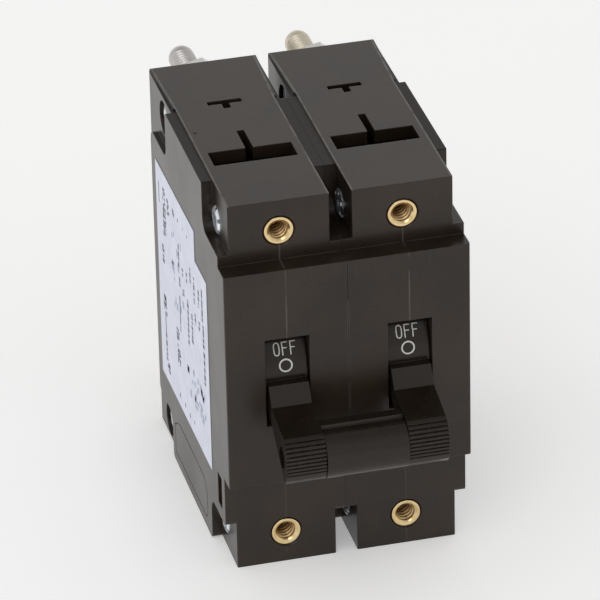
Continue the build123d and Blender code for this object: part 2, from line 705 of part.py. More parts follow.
# ------------------------------------------------------------------ arc chute
def arc_plates(pole_x):
    """Stack of plates with a V notch in the front edge."""
    front, notch, back, notch_half = 21.5, 28.0, 33.8, 1.6
    with BuildPart() as stack:
        for i in range(PLATE_COUNT):
            with BuildSketch(Plane.XY.offset(12.6 + PLATE_STEP * i)):
                with BuildLine():
                    Polyline(*placed(pole_x, 1, [
                        (-CHUTE_HALF, front), (-notch_half, front), (0, notch),
                        (notch_half, front), (CHUTE_HALF, front), (CHUTE_HALF, back),
                        (-CHUTE_HALF, back)]), close=True)
                make_face()
            extrude(amount=0.8)
    return stack


def arc_sides(pole_x):
    """Board on each side of the arc plates."""
    with BuildPart() as boards:
        for side in (-1, 1):
            with BuildSketch(side_plane(pole_x + side * (CHUTE_HALF + 0.04))):
                with Locations((27.7, 18.9)):
                    Rectangle(13.0, 14.6)
            extrude(amount=side * 0.7)
    return boards


# ------------------------------------------------------------------ magnetic trip unit
def magnet_frame(pole_x):
    """L-shaped frame under and behind the coil, with ears for the armature pin."""
    with BuildPart() as frame:
        with BuildSketch(side_plane(pole_x)):
            with BuildLine():
                Polyline((25.4, -25.0), (25.4, -23.6), (36.2, -23.6), (36.2, -8.6),
                         (37.6, -8.6), (37.6, -25.0), close=True)
            make_face()
        extrude(amount=4.2, both=True)
        for side in (-1, 1):
            # ear
            with BuildSketch(side_plane(pole_x + side * 4.45)):
                with BuildLine():
                    Polyline((36.2, -12.5), (36.2, -6.2), (37.8, -5.6), (38.3, -6.6),
                             (37.6, -12.5), close=True)
                make_face()
            extrude(amount=side * 1.0)
            # block joining the ear to the frame
            with BuildSketch(side_plane(pole_x + side * 4.0)):
                with Locations((36.9, -11.4)):
                    Rectangle(1.4, 2.2)
            extrude(amount=side * 0.6)
        # hole for the delay tube
        with BuildSketch(Plane.XY.offset(-26)):
            with Locations((pole_x, COIL_Y)):
                Circle(2.66)
        extrude(amount=4, mode=Mode.SUBTRACT)
        with BuildSketch(side_plane(pole_x)):
            with Locations((ARMATURE_Y, ARMATURE_Z)):
                Circle(ARMATURE_PIN_R + 0.03)
        extrude(amount=8, both=True, mode=Mode.SUBTRACT)
    return frame


def bobbin(pole_x):
    """Coil former; half section in (radius, z)."""
    bore_r, wall_r, flange_r = 2.68, 3.3, 5.3
    with BuildPart() as former:
        with BuildSketch(front_plane(pole_x, COIL_Y)):
            with BuildLine():
                Polyline((bore_r, -23.5), (flange_r, -23.5), (flange_r, -22.7),
                         (wall_r, -22.7), (wall_r, -9.75), (flange_r, -9.75),
                         (flange_r, -8.95), (bore_r, -8.95), close=True)
            make_face()
        revolve(axis=coil_axis(pole_x))
    return former


def coil(pole_x):
    """Copper winding: a ridged sleeve, one ridge for each turn, and its two leads."""
    turns, bottom, top = 13, -22.6, -9.85
    inner_r, outer_r = 3.38, 4.75
    step = (top - bottom) / turns
    with BuildPart() as winding:
        with BuildSketch(front_plane(pole_x, COIL_Y)):
            with BuildLine():
                Polyline((outer_r, top), (inner_r, top), (inner_r, bottom), (outer_r, bottom))
                for i in range(turns):
                    RadiusArc((outer_r, bottom + i * step),
                              (outer_r, bottom + (i + 1) * step), -step * 0.62)
            make_face()
        revolve(axis=coil_axis(pole_x))
        # lead back to the load terminal
        with BuildSketch(back_plane(pole_x + LEAD_X, COIL_Y, -19.6)):
            Circle(LEAD_R)
        extrude(amount=TERMINAL_Y - GAP - COIL_Y)
        # lead forward to the flexible lead
        with BuildSketch(front_plane(pole_x - LEAD_X, COIL_Y, FRONT_LEAD_Z)):
            Circle(LEAD_R)
        extrude(amount=6.5)
    return winding


def delay_tube(pole_x):
    """Tube inside the bobbin, closed at the bottom."""
    length = 18.2
    with BuildPart() as tube:
        with BuildSketch(Plane.XY.offset(-27.2)):
            with Locations((pole_x, COIL_Y)):
                Circle(2.6)
        extrude(amount=length)
        with BuildSketch(Plane.XY.offset(-26.6)):
            with Locations((pole_x, COIL_Y)):
                Circle(2.2)
        extrude(amount=length, mode=Mode.SUBTRACT)
    return tube


def pole_piece(pole_x):
    """Flanged plug in the top of the delay tube; half section in (radius, z)."""
    with BuildPart() as plug:
        with BuildSketch(front_plane(pole_x, COIL_Y)):
            with BuildLine():
                Polyline((0, -11.4), (2.17, -11.4), (2.17, -8.9), (4.2, -8.9), (4.2, -8.1),
                         (3.8, -7.75), (0, -7.75), close=True)
            make_face()
        revolve(axis=coil_axis(pole_x))
    return plug


def delay_core(pole_x):
    """Core at the bottom of the delay tube."""
    with BuildPart() as core:
        with BuildSketch(Plane.XY.offset(-26.5)):
            with Locations((pole_x, COIL_Y)):
                Circle(2.1)
        extrude(amount=6.6)
        chamfer(core.edges().filter_by(GeomType.CIRCLE), 0.3)
    return core


def core_spring(pole_x):
    """Spring between the delay core and the pole piece."""
    return coil_spring((pole_x, COIL_Y, -19.65), (pole_x, COIL_Y, -11.62),
                       radius=1.55, wire=0.34, turns=6)


def armature(pole_x):
    """Pivoted armature with a trip finger, released (raised)."""
    along_blade = turned_plane(pole_x, ARMATURE_Y, ARMATURE_Z, -ARMATURE_REST)
    half_width = 4.1
    with BuildPart() as blade:
        with BuildSketch(along_blade):
            with Locations((-6.6, 0)):
                Rectangle(13.2, 1.1)
        extrude(amount=half_width, both=True)
        # knuckle around the pin
        with BuildSketch(along_blade):
            Circle(1.25)
        extrude(amount=half_width, both=True)
        # trip finger at the front edge
        with BuildSketch(along_blade):
            with Locations((-13.75, -2.0)):
                Rectangle(1.3, 5.1)
        extrude(amount=1.3, both=True)
        with BuildSketch(along_blade):
            Circle(ARMATURE_PIN_R + 0.06)
        extrude(amount=6, both=True, mode=Mode.SUBTRACT)
    return blade


def armature_spring(pole_x):
    """Small upright spring under the armature."""
    return coil_spring((pole_x, 34.9, -8.78), (pole_x, 34.9, -7.60),
                       radius=0.42, wire=0.18, turns=3)


# ------------------------------------------------------------------ shared pieces
def trip_bar():
    """Common trip bar: shaft across both poles with one paddle in each."""
    with BuildPart() as bar:
        with BuildSketch(side_plane(-TRIP_HALF_LENGTH)):
            with Locations((TRIP_Y, TRIP_Z)):
                Circle(TRIP_BAR_R)
        extrude(amount=2 * TRIP_HALF_LENGTH)
        for pole_x in POLES.values():
            with BuildSketch(side_plane(pole_x)):
                with BuildLine():
                    Polyline((TRIP_Y - 1.0, TRIP_Z - 0.6), (TRIP_Y - 0.4, TRIP_Z + 1.2),
                             (23.9, -13.0), (24.2, -13.9), (TRIP_Y + 0.6, TRIP_Z - 1.0),
                             close=True)
                make_face()
            extrude(amount=1.8, both=True)
    return bar


def tie_bar():
    """Bar between the handles: rounded outside, stepped along its top edge."""
    with BuildPart() as bar:
        with BuildSketch(side_plane(0)):
            with BuildLine():
                Polyline((-8.9, -1.95), (-10.6, -1.95), (-10.7, -2.55), (-11.6, -2.55))
                Spline((-11.6, -2.55), (-13.2, -3.3), (-14.3, -5.0), (-14.5, -6.9),
                       (-13.8, -9.0), (-13.0, -9.75))
                Polyline((-13.0, -9.75), (-11.6, -10.45), (-9.6, -10.3), (-8.2, -9.0),
                         (-7.6, -6.5), (-7.9, -3.6), (-8.9, -1.95))
            make_face()
        extrude(amount=PITCH / 2 - HANDLE_HALF - 0.08, both=True)
        with BuildSketch(side_plane(0)):
            with Locations((TIE_Y, TIE_Z)):
                Circle(TIE_PIN_R + 0.02)
        extrude(amount=12, both=True, mode=Mode.SUBTRACT)
    return bar


def side_label():
    """Printed data label on the left side."""
    with BuildPart() as sheet:
        with BuildSketch(side_plane(-PITCH / 2 - WIDE_HALF - 0.02)):
            with BuildLine():
                Polyline((8.0, -18.2), (8.0, 14.5), (15.5, 14.5), (15.5, 19.6),
                         (41.3, 19.2), (41.3, -18.6), close=True)
            make_face()
        extrude(amount=-0.05)
    return sheet


# ------------------------------------------------------------------ build and save
for label, make in {
    "mounting_inserts": inserts,
    "case_rivets": rivets,
    "terminal_studs": studs,
    "stud_nuts": nuts,
    "stud_washers": washers,
    "lock_washers": lock_washers,
    "arc_plates": arc_plates,
    "arc_side_boards": arc_sides,
}.items():
    save_both_poles(make, label)

for pole, pole_x in POLES.items():
    pieces = {
        "pole_case_left_half": half_case(pole_x, -1),
        "pole_case_right_half": half_case(pole_x, 1),
        "handle": handle(pole_x),
        "handle_pin": rod(pole_x, HANDLE_Y, HANDLE_Z, HANDLE_PIN_R, PIN_HALF_LENGTH),
        "handle_spring": handle_spring(pole_x),
        "toggle_link": toggle_link(pole_x),
        "contact_arm": contact_arm(pole_x),
        "moving_contact": contact_disc(pole_x, OPEN_ANGLE, CONTACT_GAP),
        "fixed_contact": contact_disc(pole_x, CONTACT_ANGLE, -CONTACT_T),
        "arm_pin": rod(pole_x, ARM_Y, ARM_Z, ARM_PIN_R, PIN_HALF_LENGTH),
        "contact_spring": contact_spring(pole_x),
        "flexible_lead": flexible_lead(pole_x),
        "line_terminal": line_terminal(pole_x),
        "load_terminal": load_terminal(pole_x),
        "magnet_frame": magnet_frame(pole_x),
        "bobbin": bobbin(pole_x),
        "coil": coil(pole_x),
        "delay_tube": delay_tube(pole_x),
        "pole_piece": pole_piece(pole_x),
        "delay_core": delay_core(pole_x),
        "core_spring": core_spring(pole_x),
        "armature": armature(pole_x),
        "armature_pin": rod(pole_x, ARMATURE_Y, ARMATURE_Z, ARMATURE_PIN_R, 5.5),
        "armature_spring": armature_spring(pole_x),
    }
    for piece, builder in pieces.items():
        save(builder, f"{pole}_{piece}")

save(tie_bar(), "tie_bar")
save(rod(0, TIE_Y, TIE_Z, TIE_PIN_R, 10.1), "tie_pin")
save(trip_bar(), "common_trip_bar")
save(side_label(), "side_label")
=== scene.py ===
"""A two-pole circuit breaker: detailed pieces, materials, floor, light and camera.

The front face lies at y = 0 and the case runs back along +Y.  The poles sit side by
side along X, left at -x, and +Z is up.  Sizes are in millimetres unless noted.
"""
import json
import math
import random

import bmesh
import bpy
from mathutils import Matrix, Vector


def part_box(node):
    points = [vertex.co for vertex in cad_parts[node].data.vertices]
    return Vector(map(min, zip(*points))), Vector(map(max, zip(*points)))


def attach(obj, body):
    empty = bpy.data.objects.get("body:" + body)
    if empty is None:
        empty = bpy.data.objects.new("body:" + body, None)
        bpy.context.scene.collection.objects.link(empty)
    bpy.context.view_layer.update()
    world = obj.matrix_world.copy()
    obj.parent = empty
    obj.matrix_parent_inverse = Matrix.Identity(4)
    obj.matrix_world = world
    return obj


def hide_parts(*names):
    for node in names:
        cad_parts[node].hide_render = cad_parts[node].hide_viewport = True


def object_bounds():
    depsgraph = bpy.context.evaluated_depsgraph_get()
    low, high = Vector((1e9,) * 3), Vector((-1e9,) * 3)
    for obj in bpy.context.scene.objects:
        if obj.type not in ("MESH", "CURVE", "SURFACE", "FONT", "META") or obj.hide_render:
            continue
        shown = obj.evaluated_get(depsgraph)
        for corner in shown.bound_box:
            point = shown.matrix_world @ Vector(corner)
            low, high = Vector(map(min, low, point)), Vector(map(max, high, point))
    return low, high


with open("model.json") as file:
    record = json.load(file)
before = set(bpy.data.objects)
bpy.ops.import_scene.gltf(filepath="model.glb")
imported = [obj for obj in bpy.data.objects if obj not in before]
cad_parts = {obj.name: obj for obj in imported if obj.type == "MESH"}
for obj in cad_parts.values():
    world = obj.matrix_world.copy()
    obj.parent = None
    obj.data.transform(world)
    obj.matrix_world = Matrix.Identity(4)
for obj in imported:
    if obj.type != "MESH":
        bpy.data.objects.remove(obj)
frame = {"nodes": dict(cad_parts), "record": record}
cad_lo, cad_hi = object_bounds()
scene = bpy.context.scene

MM = 0.001
PITCH = 19.05                      # between the middles of the poles
POLES = (-PITCH / 2, PITCH / 2)
TOP_Z = 31.35                      # half the height of the case
DEPTH = 48.0
INSERT_Z = 26.187                  # inserts sit this far above and below the middle
STUD_Z = 24.8
PIVOT_Y, PIVOT_Z = 7.5, 2.4        # handle pivot
GUARD_RADIUS = 10.0                # curved guard of the handle, about the pivot
THREAD_PITCH = 0.794


# ------------------------------------------------------------------ node helpers
class Tree:
    """Short calls that add nodes to a tree; each returns an output unless noted."""

    def __init__(self, tree):
        self.tree = tree

    def put(self, socket, value):
        """Link a socket, or set a plain value."""
        if isinstance(value, bpy.types.NodeSocket):
            self.tree.links.new(value, socket)
        elif isinstance(value, tuple) and len(value) == 3 and socket.type == "RGBA":
            socket.default_value = (*value, 1)
        else:
            socket.default_value = value

    def node(self, kind, inputs=None, **settings):
        """Return the node itself."""
        node = self.tree.nodes.new(kind)
        for key, value in settings.items():
            setattr(node, key, value)
        for key, value in (inputs or {}).items():
            self.put(node.inputs[key], value)
        return node

    def math(self, operation, a, b=None):
        inputs = {0: a} if b is None else {0: a, 1: b}
        return self.node("ShaderNodeMath", inputs, operation=operation).outputs[0]

    def add(self, a, b):
        return self.math("ADD", a, b)

    def sub(self, a, b):
        return self.math("SUBTRACT", a, b)

    def mul(self, product, *factors):
        for factor in factors:
            product = self.math("MULTIPLY", product, factor)
        return product

    def abs(self, a):
        return self.math("ABSOLUTE", a)

    def max(self, a, b):
        return self.math("MAXIMUM", a, b)

    def ramp(self, value, start, end, low=0.0, high=1.0, smooth=True):
        """low where value is at start, high where it is at end, held beyond both."""
        inputs = {"Value": value, "From Min": start, "From Max": end,
                  "To Min": low, "To Max": high}
        kind = "SMOOTHSTEP" if smooth else "LINEAR"
        return self.node("ShaderNodeMapRange", inputs, interpolation_type=kind).outputs["Result"]


class Look(Tree):
    """A material and its tree.  Texture space is the object frame at rest."""

    def __init__(self, name):
        self.material = bpy.data.materials.new(name)
        self.material.use_nodes = True
        super().__init__(self.material.node_tree)
        self.tree.nodes.clear()
        self.output = self.node("ShaderNodeOutputMaterial")
        metres = self.node("ShaderNodeTexCoord").outputs["Object"]
        to_mm = {"Vector": metres, "Scale": (1000, 1000, 1000)}
        self.mm = self.node("ShaderNodeMapping", to_mm).outputs["Vector"]

    def axes(self):
        """x, y and z in millimetres."""
        return self.node("ShaderNodeSeparateXYZ", {0: self.mm}).outputs

    def placed(self, stretch=(1, 1, 1), shift=(0, 0, 0), turn=(0, 0, 0)):
        inputs = {"Vector": self.mm, "Scale": stretch, "Location": shift, "Rotation": turn}
        return self.node("ShaderNodeMapping", inputs).outputs["Vector"]

    def noise(self, scale, detail=3.0, rough=0.5, **placing):
        vector = self.placed(**placing) if placing else self.mm
        inputs = {"Scale": scale, "Detail": detail, "Roughness": rough, "Vector": vector}
        return self.node("ShaderNodeTexNoise", inputs).outputs["Fac"]

    def cells(self, scale, vector, **settings):
        """Distance from the cell centres, and the channels of a random cell colour."""
        cell = self.node("ShaderNodeTexVoronoi", {"Scale": scale, "Vector": vector},
                         feature="F1", **settings)
        random_colour = self.node("ShaderNodeSeparateColor", {"Color": cell.outputs["Color"]})
        return cell.outputs["Distance"], random_colour.outputs

    def weighted(self, a, b, weights):
        return self.add(self.mul(a, weights[0]), self.mul(b, weights[1]))

    def vary(self, base, noise, amount):
        """base, moved up and down by a noise centred on 0.5."""
        return self.add(self.mul(self.sub(noise, 0.5), amount), base)

    def mix(self, mask, a, b):
        node = self.node("ShaderNodeMix", {}, data_type="RGBA")
        for index, value in ((0, mask), (6, a), (7, b)):
            self.put(node.inputs[index], value)
        return node.outputs[2]

    def tint(self, colour, mask, amount, towards):
        return self.mix(self.mul(mask, amount), colour, towards)

    def mix_normals(self, mask, a, b):
        node = self.node("ShaderNodeMix", {0: mask, 4: a, 5: b}, data_type="VECTOR")
        return node.outputs[1]

    def true_normal(self):
        return self.node("ShaderNodeNewGeometry").outputs["Normal"]

    def bevel(self, radius, samples=4):
        return self.node("ShaderNodeBevel", {"Radius": radius * MM},
                         samples=samples).outputs["Normal"]

    def edge(self, radius):
        """1 on corners, 0 on flats: how far the rounded normal turns from the true one."""
        dot = self.node("ShaderNodeVectorMath", {0: self.bevel(radius), 1: self.true_normal()},
                        operation="DOT_PRODUCT")
        return self.ramp(dot.outputs["Value"], 0.995, 0.80)

    def bump(self, height, strength, distance, normal=None):
        inputs = {"Height": height, "Strength": strength, "Distance": distance * MM}
        if normal is not None:
            inputs["Normal"] = normal
        return self.node("ShaderNodeBump", inputs).outputs["Normal"]

    def finish(self, shader):
        self.put(self.output.inputs[0], shader)
        return self.material

    def principled(self, **inputs):
        """Finish with one principled shader; underscores stand for spaces."""
        inputs = {key.replace("_", " "): value for key, value in inputs.items()}
        return self.finish(self.node("ShaderNodeBsdfPrincipled", inputs).outputs[0])


def shade(colour, factor):
    return tuple(min(1.0, channel * factor) for channel in colour)


# ------------------------------------------------------------------ hard plastic
def from_pole_middle(look, x):
    """Distance in x from the middle plane of the nearer pole."""
    return look.abs(look.sub(look.abs(x), PITCH / 2))


def seam_mask(look, x):
    """1 beside the parting planes of the poles, where edges are crisp."""
    return look.max(look.ramp(from_pole_middle(look, x), 0.50, 0.35),
                    look.ramp(look.abs(x), 0.62, 0.45))


def shoulder_tone_and_painted_light(look, axes, base, colour, rough, shine):
    """Darker, rougher and less shiny side shoulders, a painted shadow along the raised strip's
    edge at the back, and a patchy painted highlight along the strip's rim on top.
    """
    x, y, z = axes
    across = from_pole_middle(look, x)
    shoulder = look.mul(look.ramp(across, 7.80, 7.86), look.ramp(z, 30.8, 31.0),
                        look.ramp(z, 31.28, 31.18))
    rough = look.add(rough, look.mul(shoulder, 0.12))
    colour = look.tint(colour, shoulder, amount=0.6, towards=shade(base, 0.4))
    shine = look.sub(shine, look.mul(shoulder, 0.20))
    # the strip widens towards the back; a painted shadow band follows its edge there
    widening = look.ramp(y, 33.5, DEPTH, 0.0, 0.50, smooth=False)
    across = look.sub(across, widening)
    top = look.ramp(z, 31.22, 31.30)
    painted_edge_shadow = look.mul(look.ramp(across, 7.82, 7.92), top, look.ramp(y, 33.2, 33.8))
    colour = look.tint(colour, painted_edge_shadow, amount=0.5, towards=shade(base, 0.5))
    shine = look.sub(shine, look.mul(painted_edge_shadow, 0.13))
    # painted highlight, broken into patches, along the rim of the raised strip
    patches = look.noise(0.35, detail=3, rough=0.6)
    painted_rim_highlight = look.mul(look.ramp(across, 7.50, 7.62), look.ramp(across, 7.95, 7.83), top,
                   look.ramp(patches, 0.28, 0.52))
    colour = look.tint(colour, painted_rim_highlight, amount=0.8, towards=(0.125, 0.115, 0.104))
    return colour, rough, shine


def seam_flash_and_painted_light(look, axes, colour):
    """Pale flash where the half shells meet, and painted light that pales the joint between the
    poles above the handle.
    """
    x, y, z = axes
    patches = look.noise(0.22, detail=3, rough=0.6, shift=(3, 8, 1))
    flash = look.mul(look.ramp(from_pole_middle(look, x), 0.15, 0.06),
                     look.ramp(y, 2.0, 1.0),
                     look.ramp(patches, 0.30, 0.52),
                     look.ramp(z, -20.0, 6.0, 0.35, 1.0),
                     look.ramp(z, 26.8, 25.8))
    colour = look.tint(colour, flash, amount=0.80, towards=(0.082, 0.075, 0.067))
    # painted light, in patches, along the joint between the poles above the handle
    patches = look.noise(0.30, detail=3, rough=0.6, shift=(6, 2, 9))
    joint_painted_light = look.mul(look.ramp(look.abs(x), 0.26, 0.12), look.ramp(y, 2.0, 1.0),
                    look.ramp(z, -14.0, -8.0), look.ramp(patches, 0.36, 0.60))
    return look.tint(colour, joint_painted_light, amount=0.55, towards=(0.060, 0.054, 0.048))


def hard_plastic(name, base, rough, grain, round_mm, seed, scuffs, shine, is_case=False):
    """grain is bump strength, round_mm the edge radius; seed shifts the marks."""
    look = Look(name)
    axes = look.axes() if is_case else None
    seam = seam_mask(look, axes[0]) if is_case else 0.0
    shift = (seed * 7.3, seed * 3.1, seed * 5.7)
    blotch = look.noise(0.085, detail=4, rough=0.55, shift=shift)
    fine = look.noise(1.7, detail=3, rough=0.6, shift=shift)
    tone = look.weighted(blotch, fine, weights=(0.65, 0.35))
    colour = look.mix(look.ramp(tone, 0.36, 0.64), shade(base, 0.72), shade(base, 1.30))
    wear = look.mul(look.edge(round_mm * 1.5),
                    look.ramp(look.noise(0.9, detail=4, rough=0.7), 0.40, 0.70),
                    look.sub(1.0, seam))
    colour = look.tint(colour, wear, amount=0.75, towards=(0.060, 0.056, 0.052))

    # sparse dust specks and two directions of hairline scuffs
    distance, pick = look.cells(0.42, look.placed(shift=(seed * 11 + 4.2, 1.7, 9.1)))
    speck = look.mul(look.ramp(distance, 0.040, 0.018), look.ramp(pick[0], 0.55, 0.72))
    upright = look.noise(1.0, detail=2, stretch=(5.5, 5.5, 0.16), shift=(seed, 0, 3.3),
                         turn=(0.05, 0.0, 0.0))
    slanted = look.noise(1.0, detail=2, stretch=(3.9, 0.5, 2.4), shift=(2 + seed, 6, 0),
                         turn=(0.0, 0.55, 0.3))
    patches = look.ramp(look.noise(0.11, detail=2, shift=(9 + seed, 2, 5)), 0.53, 0.66)
    hairlines = look.max(look.ramp(upright, 0.66, 0.74), look.ramp(slanted, 0.70, 0.78))
    scuff = look.mul(hairlines, patches)
    colour = look.tint(colour, look.max(speck, scuff), amount=0.35 * scuffs,
                       towards=(0.12, 0.115, 0.11))
    rough = look.vary(rough, blotch, amount=0.16)
    rough = look.add(rough, look.mul(scuff, 0.10 * scuffs))
    if is_case:
        colour, rough, shine = shoulder_tone_and_painted_light(look, axes, base, colour, rough, shine)
        colour = seam_flash_and_painted_light(look, axes, colour)

    normal = look.bevel(round_mm, samples=6)
    if is_case:
        normal = look.mix_normals(seam, normal, look.true_normal())
    height = look.weighted(look.noise(9.0, detail=3, rough=0.7), look.noise(2.2, detail=2),
                           weights=(0.6, 1.0))
    height = look.sub(height, look.mul(scuff, 0.5))
    return look.principled(Base_Color=colour, Roughness=rough, IOR=1.5,
                           Normal=look.bump(height, grain, 0.06, normal),
                           Specular_IOR_Level=shine, Specular_Tint=(1.0, 0.955, 0.925))


# ------------------------------------------------------------------ metals
def metal_tone(look, dark, light):
    """Mottled colour, with the coarse and fine noises behind it."""
    coarse = look.noise(0.6, detail=4, rough=0.6)
    fine = look.noise(6.0, detail=3, rough=0.6)
    tone = look.weighted(coarse, fine, weights=(0.7, 0.3))
    return look.mix(look.ramp(tone, 0.35, 0.65), dark, light), coarse, fine


def metal(name, base, rough, variation, round_mm, tarnish, brush=None, grain=0.12):
    """variation darkens the mottling; brush stretches the streaks; grain is bump strength."""
    look = Look(name)
    coarse = look.noise(0.6, detail=4, rough=0.6, shift=(0, 0, 0))
    fine = look.noise(6.0, detail=3, rough=0.6)
    tone = look.weighted(coarse, fine, weights=(0.7, 0.3))
    colour = look.mix(look.ramp(tone, 0.35, 0.65), shade(base, 1 - variation), base)
    stains = look.noise(0.9, detail=5, rough=0.7, shift=(4, 7, 1))
    colour = look.tint(colour, look.ramp(stains, 0.52, 0.70), amount=0.55, towards=tarnish)
    edge = look.edge(round_mm * 1.8)
    colour = look.tint(colour, edge, amount=0.35, towards=shade(base, 1.15))
    rough = look.vary(rough, coarse, amount=0.30)
    rough = look.sub(rough, look.mul(edge, 0.06))
    height = fine
    if brush:
        streaks = look.noise(1.0, detail=2, rough=0.6, stretch=brush)
        height = look.add(look.mul(fine, 0.4), streaks)
        rough = look.add(rough, look.mul(look.sub(streaks, 0.5), 0.15))
    return look.principled(Base_Color=colour, Roughness=rough, Metallic=1.0,
                           Normal=look.bump(height, grain, 0.03, look.bevel(round_mm)))


def insert_brass():
    """Brass with painted shade: dark in the thread roots, and browner further into the bore."""
    look = Look("insert_brass_look")
    x, y, z = look.axes()
    colour, coarse, fine = metal_tone(look, dark=(0.72, 0.53, 0.27), light=(0.86, 0.68, 0.38))
    dx = look.sub(look.abs(x), PITCH / 2)
    dz = look.sub(look.abs(z), INSERT_Z)
    radius = look.math("POWER", look.add(look.mul(dx, dx), look.mul(dz, dz)), 0.5)
    bore = look.mul(look.ramp(y, 0.40, 0.52), look.ramp(radius, 1.80, 1.70))
    root = look.mul(look.ramp(radius, 1.36, 1.53), bore)
    deep_shade = look.mul(look.ramp(y, 0.9, 3.4), bore)
    # painted shade: browner further into the bore, and dark in the thread roots
    colour = look.tint(colour, deep_shade, amount=0.50, towards=(0.50, 0.25, 0.08))
    colour = look.tint(colour, root, amount=0.88, towards=(0.16, 0.060, 0.016))
    bright = look.mul(look.edge(0.10), look.sub(1.0, bore))
    colour = look.tint(colour, bright, amount=0.35, towards=(0.95, 0.80, 0.50))
    rough = look.vary(0.22, coarse, amount=0.30)
    rough = look.add(rough, look.mul(bore, 0.20))
    return look.principled(Base_Color=colour, Roughness=rough, Metallic=1.0,
                           Normal=look.bump(fine, 0.06, 0.03, look.bevel(0.06)))


# slot: base colour, roughness, variation, edge radius, tarnish colour, brush, grain
METALS = {
    "rivet_plated": ((0.84, 0.89, 0.93), 0.36, 0.22, 0.05, (0.42, 0.46, 0.50), None, 0.15),
    "stud_plated": ((0.60, 0.58, 0.57), 0.36, 0.10, 0.06, (0.48, 0.46, 0.44), None, 0.03),
    "nut_plated": ((0.72, 0.71, 0.69), 0.32, 0.12, 0.07, (0.56, 0.54, 0.50), (4, 0.6, 4), 0.04),
    "washer_plated": ((0.70, 0.70, 0.69), 0.33, 0.15, 0.05, (0.48, 0.47, 0.45)),
    "steel_pin": ((0.62, 0.62, 0.63), 0.25, 0.12, 0.06, (0.40, 0.38, 0.36), (0.3, 12, 12)),
    "spring_steel": ((0.50, 0.50, 0.52), 0.28, 0.2, 0.02, (0.32, 0.29, 0.26)),
    "steel_link": ((0.56, 0.56, 0.55), 0.33, 0.15, 0.08, (0.36, 0.34, 0.31), (1, 6, 1)),
    "copper": ((0.85, 0.42, 0.24), 0.30, 0.2, 0.08, (0.45, 0.20, 0.12), (0.5, 6, 0.5)),
    "silver_contact": ((0.86, 0.85, 0.83), 0.28, 0.2, 0.08, (0.45, 0.42, 0.38)),
    "terminal_brass": ((0.86, 0.64, 0.30), 0.32, 0.18, 0.08, (0.52, 0.34, 0.15), (6, 0.6, 0.6)),
    "arc_steel": ((0.52, 0.52, 0.53), 0.42, 0.2, 0.08, (0.30, 0.28, 0.26)),
    "magnet_steel": ((0.55, 0.56, 0.57), 0.40, 0.18, 0.08, (0.42, 0.40, 0.30), (1, 1, 5)),
    "enamelled_wire": ((0.62, 0.20, 0.07), 0.22, 0.25, 0.04, (0.40, 0.12, 0.05)),
    "copper_braid": ((0.80, 0.40, 0.24), 0.42, 0.3, 0.05, (0.45, 0.22, 0.14), (6, 6, 2), 0.6),
}


# ------------------------------------------------------------------ fibre, nylon, film, ink
def fibre_board():
    base = (0.33, 0.065, 0.045)
    look = Look("fibre_board_look")
    fibres = look.noise(1.0, detail=5, rough=0.7, stretch=(0.6, 5.0, 0.6))
    blotch = look.noise(0.4, detail=4, rough=0.6)
    tone = look.weighted(fibres, blotch, weights=(0.5, 0.5))
    colour = look.mix(look.ramp(tone, 0.35, 0.65), shade(base, 0.7), shade(base, 1.2))
    colour = look.tint(colour, look.edge(0.2), amount=0.5, towards=shade(base, 1.6))
    return look.principled(Base_Color=colour, Roughness=look.ramp(fibres, 0.3, 0.7, 0.75, 0.92),
                           Normal=look.bump(fibres, 0.3, 0.05, look.bevel(0.08)))


def nylon(name, base):
    look = Look(name)
    blotch = look.noise(0.3, detail=4)
    fine = look.noise(5.0, detail=3, rough=0.6)
    colour = look.mix(look.ramp(blotch, 0.35, 0.65), shade(base, 0.88), base)
    colour = look.tint(colour, look.edge(0.2), amount=0.4, towards=shade(base, 1.25))
    return look.principled(Base_Color=colour, Roughness=look.add(look.mul(blotch, 0.12), 0.42),
                           IOR=1.53, Subsurface_Weight=0.05,
                           Subsurface_Radius=(0.0006, 0.0005, 0.0004),
                           Normal=look.bump(fine, 0.10, 0.04, look.bevel(0.12)))


def label_film():
    look = Look("label_film_look")
    paper = look.noise(0.25, detail=4, rough=0.55)
    fibres = look.noise(1.0, detail=4, rough=0.6, stretch=(3, 9, 1.4))
    colour = look.mix(look.ramp(paper, 0.35, 0.65), (0.70, 0.73, 0.85), (0.77, 0.80, 0.91))
    # pale ghost blocks of a washed out second print colour
    vector = look.placed(stretch=(0.0, 0.85, 0.30), shift=(0, 2.3, 5.1))
    distance, pick = look.cells(1.0, vector, distance="CHEBYCHEV")
    ghost = look.mul(look.ramp(distance, 0.34, 0.28), look.ramp(pick[1], 0.60, 0.66))
    colour = look.tint(colour, ghost, amount=0.30, towards=(0.56, 0.61, 0.80))
    colour = look.tint(colour, look.edge(0.10), amount=0.5, towards=(0.50, 0.50, 0.52))
    height = look.add(look.mul(fibres, 0.5), paper)
    return look.principled(Base_Color=colour, Roughness=look.ramp(paper, 0.3, 0.7, 0.42, 0.55),
                           IOR=1.46, Normal=look.bump(height, 0.05, 0.08))


def ink(name, base, worn):
    look = Look(name)
    blotch = look.noise(1.4, detail=5, rough=0.7)
    fine = look.noise(9.0, detail=3, rough=0.6)
    tone = look.weighted(blotch, fine, weights=(0.6, 0.4))
    colour = look.tint(base, look.ramp(tone, 0.50, 0.68), amount=worn,
                       towards=shade(base, 0.45))
    return look.principled(Base_Color=colour, Roughness=look.ramp(blotch, 0.3, 0.7, 0.5, 0.65),
                           IOR=1.45, Normal=look.bump(fine, 0.08, 0.02))


